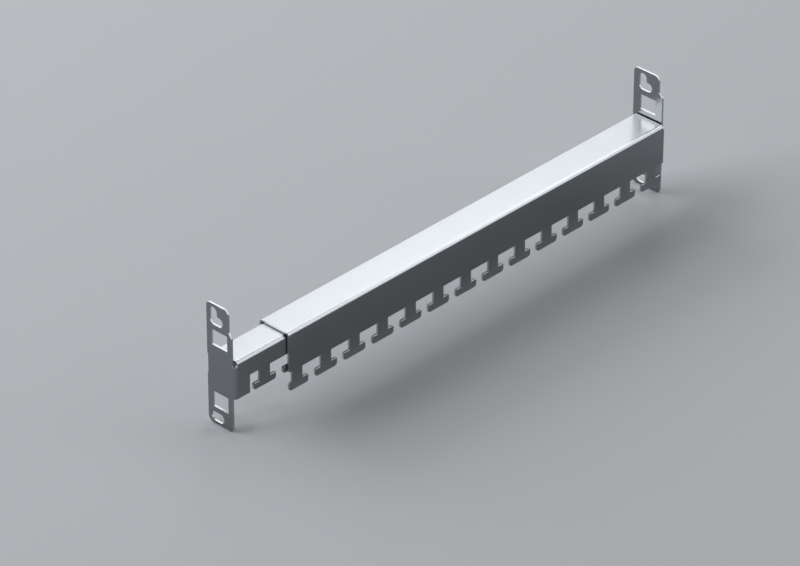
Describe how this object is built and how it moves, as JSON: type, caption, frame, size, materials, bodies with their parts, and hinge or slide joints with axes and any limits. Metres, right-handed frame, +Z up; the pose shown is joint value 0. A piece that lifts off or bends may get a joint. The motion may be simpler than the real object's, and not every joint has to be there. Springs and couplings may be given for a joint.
{
  "type": "telescoping cable attachment rail",
  "caption": "Telescoping rail of two nested folded steel channels with a comb of T-shaped tabs for cable ties and an upright slotted flange at each end.",
  "frame": {"origin": "middle of the rail pushed together, on the level on which both flanges stand", "axes": "+X along the rail from the inner rail's flange to the outer rail's flange, +Y from the comb at the front to the back, +Z up from the flanges' feet"},
  "size_m": [0.3892, 0.0272, 0.0864],
  "materials": {
    "zinc_plated_steel": "satin zinc-plated sheet steel"
  },
  "bodies": {
    "outer": {"outer_rail": "zinc_plated_steel"},
    "inner": {"inner_rail": "zinc_plated_steel"}
  },
  "joints": [
    {"name": "rail_slide", "type": "slide", "parent": "outer", "child": "inner", "axis": [-1, 0, 0], "range_m": [0, 0.21]}
  ]
}
